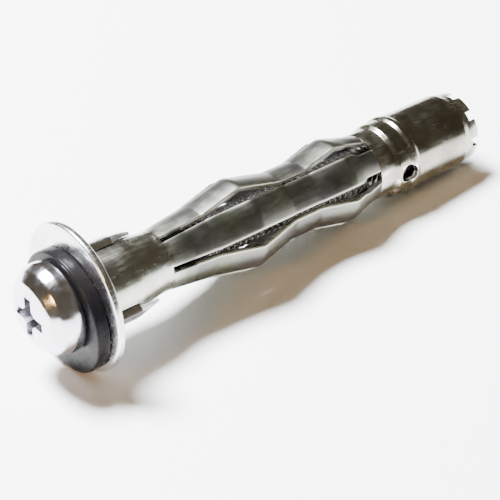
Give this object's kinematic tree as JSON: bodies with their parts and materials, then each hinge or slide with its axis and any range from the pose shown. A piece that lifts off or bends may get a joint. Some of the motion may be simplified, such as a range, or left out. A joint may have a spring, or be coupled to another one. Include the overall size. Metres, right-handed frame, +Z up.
{
  "type": "wall anchor",
  "caption": "Metal hollow-wall anchor: cross-recess pan-head screw, loose washer, clawed flange, and a slotted sleeve whose legs fold out behind the wall.",
  "frame": {"origin": "centre of the flange's wall-side face, on the wall's surface", "axes": "+X along the screw's axis into the wall, +Z up"},
  "size_m": [0.0597, 0.0164, 0.0164],
  "materials": {
    "bright_zinc": "bright zinc plate, lightly marked",
    "black_washer": "glossy black coating",
    "satin_zinc": "satin zinc plate",
    "sleeve_zinc": "zinc-plated pressed sheet",
    "leg_zinc": "zinc-plated pressed sheet with a faint olive passivation",
    "shell_zinc": "zinc-plated pressed sheet, darker at the swaged end",
    "nut_steel": "plain zinc-plated steel"
  },
  "bodies": {
    "sleeve": {"flange_plate": "satin_zinc", "collar_tube": "sleeve_zinc"},
    "washer": {"washer": "black_washer"},
    "screw": {"screw": "bright_zinc"},
    "nut_shell": {"nut_shell": "shell_zinc", "nut": "nut_steel"},
    "leg_1_front_rise": {"leg_1_front_rise": "leg_zinc"},
    "leg_1_front_fall": {"leg_1_front_fall": "leg_zinc"},
    "leg_1_bridge": {"leg_1_bridge": "leg_zinc"},
    "leg_1_rear_rise": {"leg_1_rear_rise": "leg_zinc"},
    "leg_1_rear_fall": {"leg_1_rear_fall": "leg_zinc"},
    "leg_2_front_rise": {"leg_2_front_rise": "leg_zinc"},
    "leg_2_front_fall": {"leg_2_front_fall": "leg_zinc"},
    "leg_2_bridge": {"leg_2_bridge": "leg_zinc"},
    "leg_2_rear_rise": {"leg_2_rear_rise": "leg_zinc"},
    "leg_2_rear_fall": {"leg_2_rear_fall": "leg_zinc"},
    "leg_3_front_rise": {"leg_3_front_rise": "leg_zinc"},
    "leg_3_front_fall": {"leg_3_front_fall": "leg_zinc"},
    "leg_3_bridge": {"leg_3_bridge": "leg_zinc"},
    "leg_3_rear_rise": {"leg_3_rear_rise": "leg_zinc"},
    "leg_3_rear_fall": {"leg_3_rear_fall": "leg_zinc"},
    "leg_4_front_rise": {"leg_4_front_rise": "leg_zinc"},
    "leg_4_front_fall": {"leg_4_front_fall": "leg_zinc"},
    "leg_4_bridge": {"leg_4_bridge": "leg_zinc"},
    "leg_4_rear_rise": {"leg_4_rear_rise": "leg_zinc"},
    "leg_4_rear_fall": {"leg_4_rear_fall": "leg_zinc"},
    "leg_5_front_rise": {"leg_5_front_rise": "leg_zinc"},
    "leg_5_front_fall": {"leg_5_front_fall": "leg_zinc"},
    "leg_5_bridge": {"leg_5_bridge": "leg_zinc"},
    "leg_5_rear_rise": {"leg_5_rear_rise": "leg_zinc"},
    "leg_5_rear_fall": {"leg_5_rear_fall": "leg_zinc"},
    "leg_6_front_rise": {"leg_6_front_rise": "leg_zinc"},
    "leg_6_front_fall": {"leg_6_front_fall": "leg_zinc"},
    "leg_6_bridge": {"leg_6_bridge": "leg_zinc"},
    "leg_6_rear_rise": {"leg_6_rear_rise": "leg_zinc"},
    "leg_6_rear_fall": {"leg_6_rear_fall": "leg_zinc"}
  },
  "joints": [
    {"name": "screw_withdraw", "type": "slide", "parent": "sleeve", "child": "washer", "axis": [-1, 0, 0], "range_m": [0, 0.0096]},
    {"name": "screw_turn", "type": "hinge", "parent": "washer", "child": "screw", "pos_m": [0, 0, 0], "axis": [-1, 0, 0], "range_deg": [0, 4320]},
    {"name": "leg_1_front_bend", "type": "hinge", "parent": "sleeve", "child": "leg_1_front_rise", "pos_m": [0.015, -0.00302, 0.00262], "axis": [0, -0.6561, -0.7547], "range_deg": [0, 64]},
    {"name": "leg_1_front_crest", "type": "hinge", "parent": "leg_1_front_rise", "child": "leg_1_front_fall", "pos_m": [0.0204, -0.00322, 0.0028], "axis": [0, -0.6561, -0.7547], "range_deg": [-128, 0]},
    {"name": "leg_1_front_valley", "type": "hinge", "parent": "leg_1_front_fall", "child": "leg_1_bridge", "pos_m": [0.0258, -0.00302, 0.00262], "axis": [0, -0.6561, -0.7547], "range_deg": [0, 64]},
    {"name": "leg_1_rear_valley", "type": "hinge", "parent": "leg_1_bridge", "child": "leg_1_rear_rise", "pos_m": [0.0294, -0.00302, 0.00262], "axis": [0, -0.6561, -0.7547], "range_deg": [0, 64]},
    {"name": "leg_1_rear_crest", "type": "hinge", "parent": "leg_1_rear_rise", "child": "leg_1_rear_fall", "pos_m": [0.0339, -0.00306, 0.00266], "axis": [0, -0.6561, -0.7547], "range_deg": [-128, 0]},
    {"name": "leg_1_shell_bend", "type": "hinge", "parent": "leg_1_rear_fall", "child": "nut_shell", "pos_m": [0.0384, -0.00302, 0.00262], "axis": [0, -0.6561, -0.7547], "range_deg": [0, 64]},
    {"name": "leg_2_front_bend", "type": "hinge", "parent": "sleeve", "child": "leg_2_front_rise", "pos_m": [0.015, -0.00378, -0.0013], "axis": [0, 0.3256, -0.9455], "range_deg": [0, 64]},
    {"name": "leg_2_front_crest", "type": "hinge", "parent": "leg_2_front_rise", "child": "leg_2_front_fall", "pos_m": [0.0204, -0.00403, -0.00139], "axis": [0, 0.3256, -0.9455], "range_deg": [-128, 0]},
    {"name": "leg_2_front_valley", "type": "hinge", "parent": "leg_2_front_fall", "child": "leg_2_bridge", "pos_m": [0.0258, -0.00378, -0.0013], "axis": [0, 0.3256, -0.9455], "range_deg": [0, 64]},
    {"name": "leg_2_rear_valley", "type": "hinge", "parent": "leg_2_bridge", "child": "leg_2_rear_rise", "pos_m": [0.0294, -0.00378, -0.0013], "axis": [0, 0.3256, -0.9455], "range_deg": [0, 64]},
    {"name": "leg_2_rear_crest", "type": "hinge", "parent": "leg_2_rear_rise", "child": "leg_2_rear_fall", "pos_m": [0.0339, -0.00383, -0.00132], "axis": [0, 0.3256, -0.9455], "range_deg": [-128, 0]},
    {"name": "leg_3_front_bend", "type": "hinge", "parent": "sleeve", "child": "leg_3_front_rise", "pos_m": [0.015, -0.00076, -0.00393], "axis": [0, 0.9816, -0.1908], "range_deg": [0, 64]},
    {"name": "leg_3_front_crest", "type": "hinge", "parent": "leg_3_front_rise", "child": "leg_3_front_fall", "pos_m": [0.0204, -0.00081, -0.00419], "axis": [0, 0.9816, -0.1908], "range_deg": [-128, 0]},
    {"name": "leg_3_front_valley", "type": "hinge", "parent": "leg_3_front_fall", "child": "leg_3_bridge", "pos_m": [0.0258, -0.00076, -0.00393], "axis": [0, 0.9816, -0.1908], "range_deg": [0, 64]},
    {"name": "leg_3_rear_valley", "type": "hinge", "parent": "leg_3_bridge", "child": "leg_3_rear_rise", "pos_m": [0.0294, -0.00076, -0.00393], "axis": [0, 0.9816, -0.1908], "range_deg": [0, 64]},
    {"name": "leg_3_rear_crest", "type": "hinge", "parent": "leg_3_rear_rise", "child": "leg_3_rear_fall", "pos_m": [0.0339, -0.00077, -0.00398], "axis": [0, 0.9816, -0.1908], "range_deg": [-128, 0]},
    {"name": "leg_4_front_bend", "type": "hinge", "parent": "sleeve", "child": "leg_4_front_rise", "pos_m": [0.015, 0.00302, -0.00262], "axis": [0, 0.6561, 0.7547], "range_deg": [0, 64]},
    {"name": "leg_4_front_crest", "type": "hinge", "parent": "leg_4_front_rise", "child": "leg_4_front_fall", "pos_m": [0.0204, 0.00322, -0.0028], "axis": [0, 0.6561, 0.7547], "range_deg": [-128, 0]},
    {"name": "leg_4_front_valley", "type": "hinge", "parent": "leg_4_front_fall", "child": "leg_4_bridge", "pos_m": [0.0258, 0.00302, -0.00262], "axis": [0, 0.6561, 0.7547], "range_deg": [0, 64]},
    {"name": "leg_4_rear_valley", "type": "hinge", "parent": "leg_4_bridge", "child": "leg_4_rear_rise", "pos_m": [0.0294, 0.00302, -0.00262], "axis": [0, 0.6561, 0.7547], "range_deg": [0, 64]},
    {"name": "leg_4_rear_crest", "type": "hinge", "parent": "leg_4_rear_rise", "child": "leg_4_rear_fall", "pos_m": [0.0339, 0.00306, -0.00266], "axis": [0, 0.6561, 0.7547], "range_deg": [-128, 0]},
    {"name": "leg_5_front_bend", "type": "hinge", "parent": "sleeve", "child": "leg_5_front_rise", "pos_m": [0.015, 0.00378, 0.0013], "axis": [0, -0.3256, 0.9455], "range_deg": [0, 64]},
    {"name": "leg_5_front_crest", "type": "hinge", "parent": "leg_5_front_rise", "child": "leg_5_front_fall", "pos_m": [0.0204, 0.00403, 0.00139], "axis": [0, -0.3256, 0.9455], "range_deg": [-128, 0]},
    {"name": "leg_5_front_valley", "type": "hinge", "parent": "leg_5_front_fall", "child": "leg_5_bridge", "pos_m": [0.0258, 0.00378, 0.0013], "axis": [0, -0.3256, 0.9455], "range_deg": [0, 64]},
    {"name": "leg_5_rear_valley", "type": "hinge", "parent": "leg_5_bridge", "child": "leg_5_rear_rise", "pos_m": [0.0294, 0.00378, 0.0013], "axis": [0, -0.3256, 0.9455], "range_deg": [0, 64]},
    {"name": "leg_5_rear_crest", "type": "hinge", "parent": "leg_5_rear_rise", "child": "leg_5_rear_fall", "pos_m": [0.0339, 0.00383, 0.00132], "axis": [0, -0.3256, 0.9455], "range_deg": [-128, 0]},
    {"name": "leg_6_front_bend", "type": "hinge", "parent": "sleeve", "child": "leg_6_front_rise", "pos_m": [0.015, 0.00076, 0.00393], "axis": [0, -0.9816, 0.1908], "range_deg": [0, 64]},
    {"name": "leg_6_front_crest", "type": "hinge", "parent": "leg_6_front_rise", "child": "leg_6_front_fall", "pos_m": [0.0204, 0.00081, 0.00419], "axis": [0, -0.9816, 0.1908], "range_deg": [-128, 0]},
    {"name": "leg_6_front_valley", "type": "hinge", "parent": "leg_6_front_fall", "child": "leg_6_bridge", "pos_m": [0.0258, 0.00076, 0.00393], "axis": [0, -0.9816, 0.1908], "range_deg": [0, 64]},
    {"name": "leg_6_rear_valley", "type": "hinge", "parent": "leg_6_bridge", "child": "leg_6_rear_rise", "pos_m": [0.0294, 0.00076, 0.00393], "axis": [0, -0.9816, 0.1908], "range_deg": [0, 64]},
    {"name": "leg_6_rear_crest", "type": "hinge", "parent": "leg_6_rear_rise", "child": "leg_6_rear_fall", "pos_m": [0.0339, 0.00077, 0.00398], "axis": [0, -0.9816, 0.1908], "range_deg": [-128, 0]}
  ],
  "couplings": [
    {"joint": "screw_turn", "follows": "screw_withdraw", "rad_per_m": 7854},
    {"joint": "leg_1_front_crest", "follows": "leg_1_front_bend", "ratio": -2},
    {"joint": "leg_1_front_valley", "follows": "leg_1_front_bend", "ratio": 1},
    {"joint": "leg_1_rear_valley", "follows": "leg_1_front_bend", "ratio": 1},
    {"joint": "leg_1_rear_crest", "follows": "leg_1_front_bend", "ratio": -2},
    {"joint": "leg_1_shell_bend", "follows": "leg_1_front_bend", "ratio": 1},
    {"joint": "leg_2_front_bend", "follows": "leg_1_front_bend", "ratio": 1},
    {"joint": "leg_2_front_crest", "follows": "leg_1_front_bend", "ratio": -2},
    {"joint": "leg_2_front_valley", "follows": "leg_1_front_bend", "ratio": 1},
    {"joint": "leg_2_rear_valley", "follows": "leg_1_front_bend", "ratio": 1},
    {"joint": "leg_2_rear_crest", "follows": "leg_1_front_bend", "ratio": -2},
    {"joint": "leg_3_front_bend", "follows": "leg_1_front_bend", "ratio": 1},
    {"joint": "leg_3_front_crest", "follows": "leg_1_front_bend", "ratio": -2},
    {"joint": "leg_3_front_valley", "follows": "leg_1_front_bend", "ratio": 1},
    {"joint": "leg_3_rear_valley", "follows": "leg_1_front_bend", "ratio": 1},
    {"joint": "leg_3_rear_crest", "follows": "leg_1_front_bend", "ratio": -2},
    {"joint": "leg_4_front_bend", "follows": "leg_1_front_bend", "ratio": 1},
    {"joint": "leg_4_front_crest", "follows": "leg_1_front_bend", "ratio": -2},
    {"joint": "leg_4_front_valley", "follows": "leg_1_front_bend", "ratio": 1},
    {"joint": "leg_4_rear_valley", "follows": "leg_1_front_bend", "ratio": 1},
    {"joint": "leg_4_rear_crest", "follows": "leg_1_front_bend", "ratio": -2},
    {"joint": "leg_5_front_bend", "follows": "leg_1_front_bend", "ratio": 1},
    {"joint": "leg_5_front_crest", "follows": "leg_1_front_bend", "ratio": -2},
    {"joint": "leg_5_front_valley", "follows": "leg_1_front_bend", "ratio": 1},
    {"joint": "leg_5_rear_valley", "follows": "leg_1_front_bend", "ratio": 1},
    {"joint": "leg_5_rear_crest", "follows": "leg_1_front_bend", "ratio": -2},
    {"joint": "leg_6_front_bend", "follows": "leg_1_front_bend", "ratio": 1},
    {"joint": "leg_6_front_crest", "follows": "leg_1_front_bend", "ratio": -2},
    {"joint": "leg_6_front_valley", "follows": "leg_1_front_bend", "ratio": 1},
    {"joint": "leg_6_rear_valley", "follows": "leg_1_front_bend", "ratio": 1},
    {"joint": "leg_6_rear_crest", "follows": "leg_1_front_bend", "ratio": -2}
  ]
}
